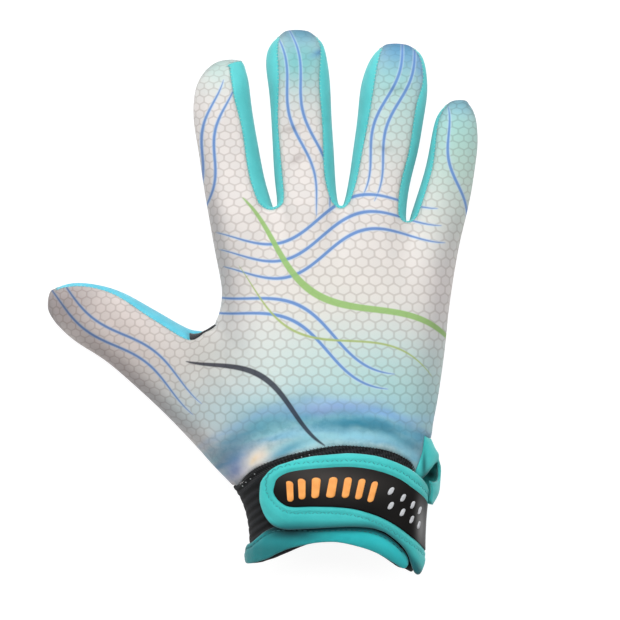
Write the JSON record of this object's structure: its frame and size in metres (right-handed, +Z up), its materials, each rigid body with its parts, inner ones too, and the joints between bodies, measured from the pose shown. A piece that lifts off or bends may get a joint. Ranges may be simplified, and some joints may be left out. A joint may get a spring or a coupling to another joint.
{
  "type": "fitness glove",
  "caption": "Right-hand stretch fitness glove with printed back, aqua side strips, grip palm and a wrapped wrist strap, lying palm down.",
  "frame": {"origin": "on the table under the middle of the glove's outline, on the palm's flat underside", "axes": "+X towards the little finger's side, +Y towards the fingertips, +Z up out of the back of the hand"},
  "size_m": [0.1851, 0.2338, 0.0474],
  "materials": {
    "printed_cloth": "matt printed stretch cloth",
    "grip_palm": "matt grip cloth",
    "aqua_cloth": "matt stretch cloth",
    "light_aqua_cloth": "matt stretch cloth",
    "aqua_neoprene": "matt knit-faced neoprene",
    "black_elastic": "matt shirred elastic",
    "black_fastener": "matt hook cloth",
    "black_rubber": "satin",
    "orange_print": "satin",
    "silver_print": "satin"
  },
  "bodies": {
    "root": {"back_panel": "printed_cloth", "palm_panel": "grip_palm", "fourchette_index_middle": "aqua_cloth", "fourchette_middle_ring": "aqua_cloth", "fourchette_ring_little": "aqua_cloth", "thumb_gusset": "light_aqua_cloth", "side_gusset": "aqua_neoprene", "wrist_band": "black_elastic", "cuff_tab": "aqua_neoprene", "hook_pad": "black_fastener", "strap": "aqua_neoprene", "strap_patch": "black_rubber", "motif_bar_1": "orange_print", "motif_bar_2": "orange_print", "motif_bar_3": "orange_print", "motif_bar_4": "orange_print", "motif_bar_5": "orange_print", "motif_bar_6": "orange_print", "motif_bar_7": "orange_print", "motif_dash_1": "silver_print", "motif_dash_2": "silver_print", "motif_dash_3": "silver_print", "motif_dash_4": "silver_print", "motif_dash_5": "silver_print", "motif_dash_6": "silver_print", "motif_dash_7": "silver_print", "motif_dash_8": "silver_print"}
  },
  "joints": []
}
